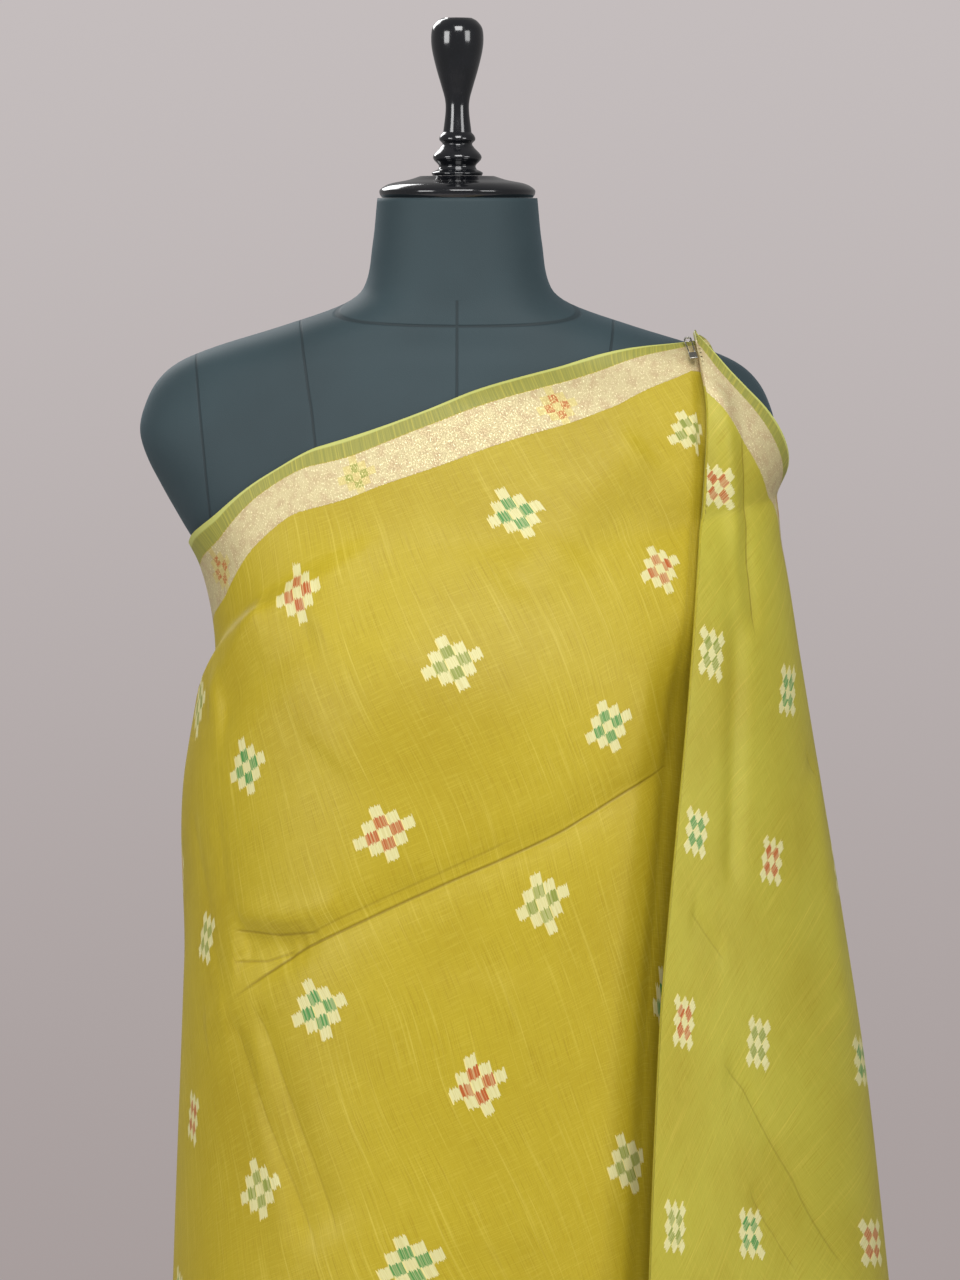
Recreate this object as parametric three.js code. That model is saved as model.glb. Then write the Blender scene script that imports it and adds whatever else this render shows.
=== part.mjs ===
// A tussar silk saree draped over a dress form on a stand, in millimetres, +Z up.
// The origin is the centre of the stand's foot on the floor. The form faces -Y, its left shoulder is at +X.
// Plan angles run anticlockwise seen from above: 0 is the front, 90 the form's left side, 180 the back.
import * as THREE from 'three';

// Driving sizes of the cloth
const clothWidth = 1120;
const clothThickness = 1.5;
const waistTop = 1095;
const hemClearance = 15;
const palluLength = 980;
const palluTurn = THREE.MathUtils.degToRad(48);
const pinHeight = 1427;
const borderSlope = THREE.MathUtils.degToRad(21);

// Driving sizes of the form and its stand
const neckTop = 1519;
const torsoBottom = 760;
const footRadius = 150;
const footHeight = 24;
const poleRadius = 17;
const seatGap = 0.3;

// Torso sections: height, half width, depth in front of and behind the axis
const torsoSections = [
  { z: 760, half: 148, front: 92, back: 104 },
  { z: 800, half: 163, front: 100, back: 117 },
  { z: 860, half: 166, front: 103, back: 121 },
  { z: 940, half: 152, front: 98, back: 109 },
  { z: 1000, half: 135, front: 93, back: 94 },
  { z: 1060, half: 122, front: 90, back: 84 },
  { z: 1120, half: 129, front: 95, back: 88 },
  { z: 1180, half: 141, front: 101, back: 97 },
  { z: 1230, half: 150, front: 102, back: 103 },
  { z: 1280, half: 163, front: 97, back: 106 },
  { z: 1310, half: 180, front: 90, back: 103 },
  { z: 1333, half: 193, front: 84, back: 98 },
  { z: 1353, half: 203, front: 78, back: 92 },
  { z: 1369, half: 207, front: 73, back: 86 },
  { z: 1385, half: 203.5, front: 68, back: 80 },
  { z: 1401, half: 195, front: 63, back: 74 },
  { z: 1413, half: 181, front: 60, back: 70 },
  { z: 1423, half: 157, front: 57, back: 67 },
  { z: 1436, half: 115, front: 55, back: 63 },
  { z: 1450, half: 75, front: 53, back: 60 },
  { z: 1461, half: 61, front: 52, back: 57 },
  { z: 1490, half: 55, front: 50, back: 54 },
  { z: 1519, half: 52, front: 49, back: 52 },
];
const bust = { angle: 38, spread: 24, z: 1213, rise: 62, fall: 48, depth: 27 };
const planPower = 2.25;

// The skirt hangs close to the legs, the shoulder cloth hangs clear of it from the bust
const skirtSections = [
  { z: 0, left: 206, right: 206, front: 172, back: 176 },
  { z: 400, left: 196, right: 196, front: 142, back: 160 },
  { z: 700, left: 186, right: 186, front: 122, back: 144 },
  { z: 860, left: 175, right: 175, front: 112, back: 131 },
  { z: 940, left: 163, right: 163, front: 108, back: 119 },
  { z: 1000, left: 148, right: 148, front: 105, back: 106 },
  { z: 1060, left: 136, right: 136, front: 103, back: 97 },
  { z: 1120, left: 141, right: 141, front: 107, back: 100 },
  { z: 1180, left: 150, right: 150, front: 112, back: 107 },
  { z: 1240, left: 160, right: 160, front: 114, back: 113 },
  { z: 1300, left: 180, right: 180, front: 108, back: 114 },
];
const shoulderSections = [
  { z: 0, left: 214, right: 338, front: 242, back: 214 },
  { z: 400, left: 202, right: 315, front: 208, back: 198 },
  { z: 700, left: 192, right: 285, front: 180, back: 182 },
  { z: 820, left: 187, right: 272, front: 170, back: 172 },
  { z: 950, left: 182, right: 257, front: 161, back: 158 },
  { z: 1065, left: 177, right: 239, front: 154, back: 146 },
  { z: 1141, left: 170, right: 226, front: 148, back: 138 },
  { z: 1218, left: 157, right: 213, front: 137, back: 130 },
  { z: 1289, left: 150, right: 201, front: 104, back: 118 },
  { z: 1340, left: 120, right: 187, front: 60, back: 90 },
  { z: 1430, left: 50, right: 90, front: 30, back: 50 },
];

// Where the fold from the shoulder pin lies, seen from the front
const foldLine = [
  { z: 0, x: 98 },
  { z: 400, x: 108 },
  { z: 820, x: 118 },
  { z: 1000, x: 125 },
  { z: 1065, x: 130 },
  { z: 1154, x: 138 },
  { z: 1244, x: 146 },
  { z: 1343, x: 155 },
  { z: 1385, x: 157 },
  { z: 1427, x: 151 },
];

// Height of the upper border along the wrap; turn 0 ends at the pin, -90 is under the right arm
const borderHeights = [
  { turn: -330, z: waistTop },
  { turn: -225, z: 1100 },
  { turn: -180, z: 1112 },
  { turn: -140, z: 1145 },
  { turn: -112, z: 1192 },
  { turn: -98, z: 1250 },
  { turn: -90, z: 1289 },
  { turn: -84.4, z: 1300 },
  { turn: -78.8, z: 1315 },
  { turn: -73, z: 1342 },
  { turn: -67.5, z: 1361 },
  { turn: -40.5, z: 1392 },
  { turn: -16.6, z: 1411 },
  { turn: -7.2, z: 1423 },
  { turn: 0, z: pinHeight },
];

const toRadians = THREE.MathUtils.degToRad;
const lerp = THREE.MathUtils.lerp;
const smooth = (value, low, high) => THREE.MathUtils.smoothstep(value, low, high);

// A smooth reading of one column of a table that is sorted by its key
function readTable(table, key, column, at) {
  const last = table.length - 1;
  if (at <= table[0][key]) return table[0][column];
  if (at >= table[last][key]) return table[last][column];
  let i = 0;
  while (table[i + 1][key] < at) i += 1;
  const span = table[i + 1][key] - table[i][key];
  const slope = (k) => {
    const a = Math.max(k - 1, 0);
    const b = Math.min(k + 1, last);
    return (table[b][column] - table[a][column]) / (table[b][key] - table[a][key]);
  };
  const f = (at - table[i][key]) / span;
  const f2 = f * f;
  const f3 = f2 * f;
  return (2 * f3 - 3 * f2 + 1) * table[i][column] + (f3 - 2 * f2 + f) * span * slope(i)
    + (3 * f2 - 2 * f3) * table[i + 1][column] + (f3 - f2) * span * slope(i + 1);
}

// Distance from the axis to a rounded section, at a plan angle in degrees
function sectionRadius(angle, right, left, front, back) {
  const s = Math.sin(toRadians(angle));
  const c = Math.cos(toRadians(angle));
  const across = Math.abs(s) / (s > 0 ? right : left);
  const along = Math.abs(c) / (c > 0 ? front : back);
  return (across ** planPower + along ** planPower) ** (-1 / planPower);
}

function torsoRadius(angle, z) {
  const read = (column) => readTable(torsoSections, 'z', column, z);
  const half = read('half');
  const turn = Math.abs(((angle % 360) + 540) % 360 - 180);
  const height = (z - bust.z) / (z > bust.z ? bust.rise : bust.fall);
  const swell = bust.depth * Math.exp(-(((turn - bust.angle) / bust.spread) ** 2) - height ** 2);
  return sectionRadius(angle, half, half, read('front'), read('back')) + swell;
}

function tableRadius(table, angle, z) {
  const read = (column) => readTable(table, 'z', column, z);
  return sectionRadius(angle, read('right'), read('left'), read('front'), read('back'));
}

const softMax = (a, b, blend) => (a + b + Math.sqrt((a - b) ** 2 + blend ** 2)) / 2;

// Cloth that runs from the underarm over the chest to the shoulder, and hangs from the bust
function shoulderRadius(angle, z) {
  const ease = 4.4 + 8 * smooth(z, 1385, 1425);
  return softMax(torsoRadius(angle, z) + ease, tableRadius(shoulderSections, angle, z), 6);
}

// share 0 is the skirt, 1 the cloth that goes up to the shoulder
function wrapRadius(angle, z, share) {
  const skirt = share < 1 ? tableRadius(skirtSections, angle, z) : 0;
  const upper = share > 0 ? shoulderRadius(angle, z) : 0;
  return lerp(skirt, upper, share);
}

const planPoint = (angle, radius, z) => new THREE.Vector3(
  radius * Math.sin(toRadians(angle)), -radius * Math.cos(toRadians(angle)), z,
);

function surfaceNormal(angle, z, share) {
  const at = (a, h) => planPoint(a, wrapRadius(a, h, share), h);
  const round = at(angle + 1.5, z).sub(at(angle - 1.5, z));
  const up = at(angle, z + 4).sub(at(angle, z - 4));
  return round.cross(up).normalize();
}

// Plan angle of the fold line at a height
function foldAngle(z) {
  const target = readTable(foldLine, 'z', 'x', z);
  let low = 10;
  let high = 90;
  for (let i = 0; i < 30; i += 1) {
    const middle = (low + high) / 2;
    const x = shoulderRadius(middle, z) * Math.sin(toRadians(middle));
    if (x < target) low = middle; else high = middle;
  }
  return (low + high) / 2;
}

// Plan angle reached by walking a distance round the outer cloth from a start angle
function walkAround(start, distance, z) {
  const step = 2;
  let angle = start;
  let left = distance;
  let here = planPoint(angle, shoulderRadius(angle, z), z);
  while (left > 0) {
    const next = planPoint(angle + step, shoulderRadius(angle + step, z), z);
    const length = here.distanceTo(next);
    if (length >= left) return angle + step * left / length;
    left -= length;
    angle += step;
    here = next;
  }
  return angle;
}

// Each column of the sheet gives a plan angle, height, share and offset for a place v down it, 0 to 1
const innerOffset = 8;
const pleats = { left: -387, right: -325, layers: 9, gap: 2.9, spread: 22 };
const stackOffset = innerOffset + pleats.gap * pleats.layers;
const columns = [];

function addSkirtColumn(angle, offset) {
  columns.push((v) => {
    const z = lerp(waistTop, hemClearance, v);
    return { angle: typeof angle === 'function' ? angle(z) : angle, z, share: 0, offset };
  });
}

function addInnerTurn() {
  const start = -740;
  const steps = 21;
  for (let i = 0; i < steps; i += 1) {
    const angle = lerp(start, pleats.left, i / steps);
    addSkirtColumn(angle, innerOffset * smooth(angle, -440, pleats.left));
  }
}

// The front pleats are stacked to and fro, and fan out towards the hem
function addPleats() {
  const middle = (pleats.left + pleats.right) / 2;
  const half = (pleats.right - pleats.left) / 2;
  for (let layer = 0; layer < pleats.layers; layer += 1) {
    const forward = layer % 2 === 0 ? 1 : -1;
    [-0.84, 0, 0.84, 0.97].forEach((place, index) => {
      const fold = index === 3 ? 0.5 : 0;
      if (fold > 0 && layer === pleats.layers - 1) return;
      const step = 1 - 0.02 * layer;
      addSkirtColumn(
        (z) => middle + forward * place * step * (half + pleats.spread * (1 - z / waistTop) / 2),
        innerOffset + pleats.gap * (layer + 1 + fold),
      );
    });
  }
}

// The second turn starts beside the pleats and rises behind, then crosses the chest to the pin
function borderDrop(turn) {
  const top = readTable(borderHeights, 'turn', 'z', turn);
  const slope = borderSlope * smooth(turn, -300, -120);
  return { top, bottom: Math.max(hemClearance + 6, top - clothWidth / Math.cos(slope) + 22) };
}

function addOuterTurn() {
  const steps = 15;
  for (let i = 0; i < steps; i += 1) {
    const turn = lerp(-314, -90, i / steps);
    const { top, bottom } = borderDrop(turn);
    columns.push((v) => {
      const z = lerp(top, bottom, v);
      const share = smooth(turn, -215, -90);
      const offset = lerp(stackOffset, innerOffset, smooth(turn, -290, -230)) * (1 - share);
      return { angle: turn, z, share, offset };
    });
  }
}

// A soft ridge where the loose front cloth falls away from the cloth held under the arm
const ridge = {
  rise: 9, backHeight: 1195, frontHeight: 1262, backTurn: -92, frontTurn: -70, edge: 16, fade: 190,
};

function underarmRidge(turn, z) {
  const along = (turn - ridge.backTurn) / (ridge.frontTurn - ridge.backTurn);
  const below = lerp(ridge.backHeight, ridge.frontHeight, along) - z;
  const start = smooth(turn, ridge.backTurn - 20, ridge.backTurn);
  const ends = start * (1 - smooth(turn, ridge.frontTurn - 2, ridge.frontTurn + 20));
  return ridge.rise * ends * smooth(below, -6, ridge.edge) * (1 - smooth(below, 60, ridge.fade));
}

const frontAngle = (turn, z) => -90 + (turn + 90) / 90 * (foldAngle(z) + 90);

function addFrontPanel() {
  const steps = 16;
  for (let i = 0; i < steps; i += 1) {
    const turn = lerp(-90, 0, i / steps);
    const { top, bottom } = borderDrop(turn);
    columns.push((v) => {
      const z = lerp(top, bottom, v);
      return { angle: frontAngle(turn, z), z, share: 1, offset: underarmRidge(turn, z) };
    });
  }
}

// Below the pin the cloth doubles back under the hanging end, and comes out again as its rounded edge
const layerGap = (drop) => lerp(3.8, 5.6, smooth(drop, 0, 80));
const tuckDepth = (drop) => 14 + 115 * smooth(drop, 70, 480);

function addTuck() {
  const { top, bottom } = borderDrop(0);
  const layers = [
    { out: 0, back: 0 }, { out: 0.5, back: 0 }, { out: 0.94, back: 0 },
    { out: 1, back: 0.5 }, { out: 0.94, back: 1 }, { out: 0.5, back: 1 }, { out: 0.06, back: 1 },
    { out: -0.03, back: 1.5 },
  ];
  layers.forEach(({ out, back }, index) => {
    const end = lerp(bottom, pinHeight - palluLength / Math.sin(palluTurn), index / layers.length);
    columns.push((v) => {
      const z = lerp(top, end, v);
      const drop = top - z;
      const angle = walkAround(foldAngle(z), Math.max(0, out) * tuckDepth(drop), z);
      const edge = Math.min(0, out) * 60;
      return { angle: angle + edge / 12, z, share: 1, offset: back * layerGap(drop) };
    });
  });
}

// The hanging end: its upper border runs down round the arm, its cut end closes the sheet behind
const ripple = { depth: 2.4, width: 107, from: 10, full: 60, fade: 250, end: 520 };

function addHangingEnd() {
  const steps = 18;
  const cos = Math.cos(palluTurn);
  const sin = Math.sin(palluTurn);
  for (let i = 0; i <= steps; i += 1) {
    const f = i / steps;
    const topAlong = palluLength * f ** 2;
    const topPlace = new THREE.Vector2(topAlong * cos, topAlong * sin);
    const endFold = new THREE.Vector2(0, palluLength / sin);
    const endMiddle = new THREE.Vector2(palluLength * cos, palluLength * sin).add(endFold).divideScalar(2);
    const endPlace = endFold.clone().lerp(endMiddle, f);
    columns.push((v) => {
      const place = topPlace.clone().lerp(endPlace, v);
      const z = pinHeight - place.y;
      const grow = smooth(place.y, ripple.from, ripple.full);
      const fade = grow * (1 - smooth(place.y, ripple.fade, ripple.end));
      const fold = ripple.depth * Math.sin(2 * Math.PI * place.x / ripple.width) * fade;
      return {
        angle: walkAround(foldAngle(z), place.x, z),
        z,
        share: 1,
        offset: 2 * layerGap(place.y) + fold,
      };
    });
  }
}

// Rows crowd towards the upper border, where the cloth crosses the shoulder
const rowCrowding = 1.7;

function sheetGrid(rows) {
  columns.length = 0;
  addInnerTurn();
  addPleats();
  addOuterTurn();
  addFrontPanel();
  addTuck();
  addHangingEnd();
  return columns.map((column) => {
    const line = [];
    for (let j = 0; j <= rows; j += 1) {
      const { angle, z, share, offset } = column((j / rows) ** rowCrowding);
      const lift = surfaceNormal(angle, z, share).multiplyScalar(offset);
      line.push(planPoint(angle, wrapRadius(angle, z, share), z).add(lift));
    }
    return line;
  });
}

// A closed sheet of even thickness from a grid of points down its middle
function thickSheet(grid, thickness) {
  const across = grid.length;
  const down = grid[0].length;
  const positions = [];
  const clamp = THREE.MathUtils.clamp;
  const clampedPoint = (i, j) => grid[clamp(i, 0, across - 1)][clamp(j, 0, down - 1)];
  for (const side of [1, -1]) {
    for (let i = 0; i < across; i += 1) {
      for (let j = 0; j < down; j += 1) {
        const along = clampedPoint(i + 1, j).clone().sub(clampedPoint(i - 1, j)).normalize();
        const fall = clampedPoint(i, j + 1).clone().sub(clampedPoint(i, j - 1)).normalize();
        const normal = fall.cross(along).normalize();
        const point = grid[i][j].clone().addScaledVector(normal, side * thickness / 2);
        positions.push(point.x, point.y, point.z);
      }
    }
  }
  const indices = [];
  const vertex = (side, i, j) => (side * across + i) * down + j;
  const quad = (a, b, c, d) => indices.push(a, b, c, a, c, d);
  const end = across - 1;
  const low = down - 1;
  for (let i = 0; i < end; i += 1) {
    for (let j = 0; j < low; j += 1) {
      quad(vertex(0, i, j), vertex(0, i, j + 1), vertex(0, i + 1, j + 1), vertex(0, i + 1, j));
      quad(vertex(1, i, j), vertex(1, i + 1, j), vertex(1, i + 1, j + 1), vertex(1, i, j + 1));
    }
    quad(vertex(0, i, 0), vertex(0, i + 1, 0), vertex(1, i + 1, 0), vertex(1, i, 0));
    quad(vertex(0, i, low), vertex(1, i, low), vertex(1, i + 1, low), vertex(0, i + 1, low));
  }
  for (let j = 0; j < low; j += 1) {
    quad(vertex(0, 0, j), vertex(1, 0, j), vertex(1, 0, j + 1), vertex(0, 0, j + 1));
    quad(vertex(0, end, j), vertex(0, end, j + 1), vertex(1, end, j + 1), vertex(1, end, j));
  }
  const geometry = new THREE.BufferGeometry();
  geometry.setAttribute('position', new THREE.Float32BufferAttribute(positions, 3));
  geometry.setIndex(indices);
  geometry.computeVertexNormals();
  return geometry;
}

// The padded torso and neck in one skin, closed flat at the neck and under the hips
function torsoGeometry() {
  const around = 44;
  const heights = [];
  for (let z = torsoBottom; z < 1300; z += 45) heights.push(z);
  for (let z = 1300; z < 1462; z += 11.5) heights.push(z);
  heights.push(1490, neckTop);
  const positions = [];
  heights.forEach((z) => {
    for (let k = 0; k < around; k += 1) {
      const angle = 360 * k / around;
      const point = planPoint(angle, torsoRadius(angle, z), z);
      positions.push(point.x, point.y, point.z);
    }
  });
  const top = heights.length - 1;
  const low = positions.length / 3;
  positions.push(0, 0, torsoBottom, 0, 0, neckTop);
  const indices = [];
  const vertex = (row, k) => row * around + (k % around);
  for (let k = 0; k < around; k += 1) {
    for (let row = 0; row < top; row += 1) {
      indices.push(vertex(row, k), vertex(row, k + 1), vertex(row + 1, k + 1));
      indices.push(vertex(row, k), vertex(row + 1, k + 1), vertex(row + 1, k));
    }
    indices.push(low, vertex(0, k + 1), vertex(0, k), low + 1, vertex(top, k), vertex(top, k + 1));
  }
  const geometry = new THREE.BufferGeometry();
  geometry.setAttribute('position', new THREE.Float32BufferAttribute(positions, 3));
  geometry.setIndex(indices);
  geometry.computeVertexNormals();
  return geometry;
}

// A turned piece: pairs of radius and height, both ends on the axis
function turned(profile, segments) {
  const geometry = new THREE.LatheGeometry(profile.map(([r, h]) => new THREE.Vector2(r, h)), segments);
  return geometry.rotateX(Math.PI / 2);
}

const capBottom = neckTop + seatGap;
const capProfile = [
  [0, capBottom], [49, capBottom], [50.5, capBottom + 2.5], [50, capBottom + 5.5], [44, capBottom + 9],
  [32, capBottom + 11.5], [24, capBottom + 14], [0, capBottom + 14],
];
const knobBottom = capBottom + 14 + seatGap;
const knobProfile = [
  [0, 0], [16, 0], [16.4, 2], [12.6, 4], [12, 6.5], [15.4, 10.5], [15.2, 13.5], [11, 18], [9.6, 20.5],
  [11.6, 23], [11.2, 25.5], [9.2, 28], [7.7, 41], [8, 49], [10.4, 58], [13.6, 69], [16.2, 80],
  [17, 88], [16.2, 95], [13, 99.5], [9.5, 101.6], [8.4, 100.6], [0, 100.2],
].map(([r, h]) => [r, h + knobBottom]);
const footProfile = [
  [0, 0], [footRadius - 3, 0], [footRadius, 3], [footRadius, 9], [footRadius - 30, 15],
  [52, footHeight - 4], [46, footHeight], [0, footHeight],
];
const flangeRadius = 46;
const flangeHeight = 12;
const poleBottom = footHeight + seatGap;
const poleTop = torsoBottom - seatGap;
const poleProfile = [
  [0, poleBottom], [30, poleBottom], [30, poleBottom + 26], [poleRadius, poleBottom + 34],
  [poleRadius, poleTop - flangeHeight], [flangeRadius, poleTop - flangeHeight],
  [flangeRadius, poleTop], [0, poleTop],
];

const materials = {
  silk: new THREE.MeshStandardMaterial({ color: '#c4b13a', roughness: 0.55, metalness: 0 }),
  formCover: new THREE.MeshStandardMaterial({ color: '#2b3538', roughness: 0.85, metalness: 0 }),
  lacquer: new THREE.MeshStandardMaterial({ color: '#0d1012', roughness: 0.15, metalness: 0 }),
  standSteel: new THREE.MeshStandardMaterial({ color: '#1c1d1f', roughness: 0.4, metalness: 0.6 }),
  pinSteel: new THREE.MeshStandardMaterial({ color: '#8b8a80', roughness: 0.3, metalness: 1 }),
};

const saree = new THREE.Group();

function addPiece(name, geometry, material) {
  const mesh = new THREE.Mesh(geometry, material);
  mesh.name = name;
  saree.add(mesh);
  return mesh;
}

const sheetRows = 20;
addPiece('saree_cloth', thickSheet(sheetGrid(sheetRows), clothThickness), materials.silk);
addPiece('form_torso', torsoGeometry(), materials.formCover);
addPiece('neck_cap', turned(capProfile, 32), materials.lacquer);
addPiece('top_knob', turned(knobProfile, 20), materials.lacquer);
addPiece('stand_pole', turned(poleProfile, 20), materials.standSteel);
addPiece('stand_foot', turned(footProfile, 32), materials.standSteel);

// The safety pin that holds the folds: a loop of wire that closes at its clasp, with its coil over the edge
const pin = { length: 22, width: 5.6, wire: 1.3, x: 150, y: -42, z: 1422.9, lean: 36, turn: 10 };
const pinOutline = [
  { along: -0.5, across: 0.1 }, { along: -0.36, across: 0.4 }, { along: 0.1, across: 0.32 },
  { along: 0.36, across: 0.5 }, { along: 0.5, across: 0 }, { along: 0.36, across: -0.5 },
  { along: 0.1, across: -0.32 }, { along: -0.36, across: -0.4 }, { along: -0.5, across: -0.1 },
];
const pinPath = new THREE.CatmullRomCurve3(
  pinOutline.map(({ along, across }) => new THREE.Vector3(across * pin.width, along * pin.length, 0)),
);
const wireSection = new THREE.Shape().absarc(0, 0, pin.wire / 2, 0, 2 * Math.PI);
const wireRun = { steps: 32, curveSegments: 3, extrudePath: pinPath };
const pinGeometry = new THREE.ExtrudeGeometry(wireSection, wireRun);
const pinMesh = addPiece('shoulder_pin', pinGeometry, materials.pinSteel);
pinMesh.position.set(pin.x, pin.y, pin.z);
pinMesh.rotation.set(toRadians(pin.lean), 0, toRadians(pin.turn));

export default saree;
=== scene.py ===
# A tussar silk saree pinned over the left shoulder of a black dress form, in metres, +Z up, facing -Y.
import math

import bmesh
import bpy
import numpy as np
from mathutils import Matrix, Vector
from mathutils.bvhtree import BVHTree


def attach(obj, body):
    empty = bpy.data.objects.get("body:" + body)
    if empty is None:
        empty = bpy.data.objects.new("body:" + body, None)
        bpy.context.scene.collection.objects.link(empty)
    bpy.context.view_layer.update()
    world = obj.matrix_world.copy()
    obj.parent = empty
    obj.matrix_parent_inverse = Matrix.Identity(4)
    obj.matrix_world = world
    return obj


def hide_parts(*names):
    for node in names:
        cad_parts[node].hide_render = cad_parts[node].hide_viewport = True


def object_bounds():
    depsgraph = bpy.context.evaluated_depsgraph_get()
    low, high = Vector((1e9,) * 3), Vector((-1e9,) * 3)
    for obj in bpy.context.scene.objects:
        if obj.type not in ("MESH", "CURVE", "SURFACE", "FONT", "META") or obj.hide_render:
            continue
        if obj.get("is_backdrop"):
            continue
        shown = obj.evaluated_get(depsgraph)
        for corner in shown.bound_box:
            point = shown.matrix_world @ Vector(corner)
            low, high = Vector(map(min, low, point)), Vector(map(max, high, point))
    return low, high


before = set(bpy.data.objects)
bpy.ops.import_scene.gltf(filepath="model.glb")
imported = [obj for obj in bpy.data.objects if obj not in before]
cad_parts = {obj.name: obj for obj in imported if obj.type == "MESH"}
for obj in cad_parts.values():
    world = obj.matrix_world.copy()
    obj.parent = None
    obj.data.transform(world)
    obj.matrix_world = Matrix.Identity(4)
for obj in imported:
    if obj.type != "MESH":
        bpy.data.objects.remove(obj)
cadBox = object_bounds()
print("frame loaded")

# The camera stands where the photo was taken
view = {
    "place": (0.0147, -3.2, 1.50), "aim": (0.0147, 0.0, 1.231), "lens": 138, "sensor": 36,
    "frame": (960, 1280),
}


def makeCamera():
    camera = bpy.data.objects.new("camera", bpy.data.cameras.new("camera"))
    bpy.context.scene.collection.objects.link(camera)
    camera.location = view["place"]
    camera.rotation_euler = (Vector(view["aim"]) - camera.location).to_track_quat("-Z", "Y").to_euler()
    camera.data.lens = view["lens"]
    camera.data.sensor_width = view["sensor"]
    bpy.context.scene.camera = camera


# The line of sight through a place in the photo's frame
def sightLine(x, y):
    wide, high = view["frame"]
    reach = high * view["lens"] / view["sensor"]
    place = Vector(view["place"])
    turn = (Vector(view["aim"]) - place).to_track_quat("-Z", "Y")
    ahead = Vector(((x - wide / 2) / reach, (high / 2 - y) / reach, -1))
    return place, turn @ ahead.normalized()


# The woven sheet and the way it is wrapped; plan angles are in degrees, 0 at the front, 90 at the left side
cloth = {
    "width": 1.12,
    "flatLength": 4.6,
    "waistTop": 1.095,
    "hemClearance": 0.015,
    "hemRise": 0.006,
    "hemTakenUp": 0.022,
    "palluLength": 0.98,
    "palluTurn": math.radians(48),
    "pinHeight": 1.427,
    "borderSlope": math.radians(21),
    "innerOffset": 0.008,
    "rowCrowding": 1.5,
    "rows": 210,
}
pleats = {
    "left": -387, "right": -325, "layers": 9, "gap": 0.0029, "spread": 22,
    "straight": 0.86, "turnBack": [(0.93, 0.12), (0.97, 0.5), (0.93, 0.88)], "narrowing": 0.02,
}
# Turns where the wrap starts, lies on the pleats, leaves them, slopes up and rises to the shoulder
wrap = {
    "start": -740, "onPleats": -440, "outer": -314, "offFrom": -290, "offTo": -230, "rise": -215,
    "slopeFrom": -300, "slopeTo": -120, "underArm": -90,
}
# The tuck at the pin: gap between its layers, how deep it goes in and how its turned edges are rounded
tuck = {
    "gapTop": 0.0038, "gapLow": 0.0056, "gapSpan": 0.080,
    "depthTop": 0.014, "depthMore": 0.115, "depthFrom": 0.070, "depthTo": 0.480,
    "straight": 0.94, "turnBack": [(0.98, 0.15), (1.0, 0.5), (0.98, 0.85)], "comesBack": 0.90,
    "roll": [-80, -60, -40, -20, 0, 20, 40, 60, 80],
}
# How far the cloth stands off the torso, more on top of the shoulder, and how softly it leaves it
ease = {"chest": 0.0044, "shoulder": 0.008, "from": 1.385, "to": 1.425, "blend": 0.006}
form = {"neckTop": 1.519, "torsoBottom": 0.760, "planPower": 2.25, "around": 180, "rows": 300}
bust = {"angle": 38, "spread": 24, "z": 1.213, "rise": 0.062, "fall": 0.048, "depth": 0.027}

# The torso's sections
torsoSections = {
    "z": [0.760, 0.800, 0.860, 0.940, 1.000, 1.060, 1.120, 1.180, 1.230, 1.280, 1.310, 1.333,
          1.353, 1.369, 1.385, 1.401, 1.413, 1.423, 1.436, 1.450, 1.461, 1.490, 1.519],
    "half": [0.148, 0.163, 0.166, 0.152, 0.135, 0.122, 0.129, 0.141, 0.150, 0.163, 0.180, 0.193,
             0.203, 0.207, 0.2035, 0.195, 0.181, 0.157, 0.115, 0.075, 0.061, 0.055, 0.052],
    "front": [0.092, 0.100, 0.103, 0.098, 0.093, 0.090, 0.095, 0.101, 0.102, 0.097, 0.090, 0.084,
              0.078, 0.073, 0.068, 0.063, 0.060, 0.057, 0.055, 0.053, 0.052, 0.050, 0.049],
    "back": [0.104, 0.117, 0.121, 0.109, 0.094, 0.084, 0.088, 0.097, 0.103, 0.106, 0.103, 0.098,
             0.092, 0.086, 0.080, 0.074, 0.070, 0.067, 0.063, 0.060, 0.057, 0.054, 0.052],
}

# The skirt's sections and those of the cloth that goes up to the shoulder
skirtSections = {
    "z": [0.0, 0.400, 0.700, 0.860, 0.940, 1.000, 1.060, 1.120, 1.180, 1.240, 1.300],
    "left": [0.206, 0.196, 0.186, 0.175, 0.163, 0.148, 0.136, 0.141, 0.150, 0.160, 0.180],
    "right": [0.206, 0.196, 0.186, 0.175, 0.163, 0.148, 0.136, 0.141, 0.150, 0.160, 0.180],
    "front": [0.172, 0.142, 0.122, 0.112, 0.108, 0.105, 0.103, 0.107, 0.112, 0.114, 0.108],
    "back": [0.176, 0.160, 0.144, 0.131, 0.119, 0.106, 0.097, 0.100, 0.107, 0.113, 0.114],
}
shoulderSections = {
    "z": [0.0, 0.400, 0.700, 0.820, 0.950, 1.065, 1.141, 1.218, 1.289, 1.340, 1.430],
    "left": [0.214, 0.202, 0.192, 0.187, 0.182, 0.177, 0.170, 0.157, 0.150, 0.120, 0.050],
    "right": [0.338, 0.315, 0.285, 0.272, 0.257, 0.239, 0.226, 0.213, 0.201, 0.187, 0.090],
    "front": [0.242, 0.208, 0.180, 0.170, 0.161, 0.154, 0.148, 0.137, 0.104, 0.060, 0.030],
    "back": [0.214, 0.198, 0.182, 0.172, 0.158, 0.146, 0.138, 0.130, 0.118, 0.090, 0.050],
}

# Where the fold from the shoulder pin lies, seen from the front
foldLine = {
    "z": [0.0, 0.400, 0.820, 1.000, 1.065, 1.154, 1.244, 1.343, 1.385, 1.427],
    "x": [0.098, 0.108, 0.118, 0.125, 0.130, 0.138, 0.146, 0.155, 0.157, 0.151],
}

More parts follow.
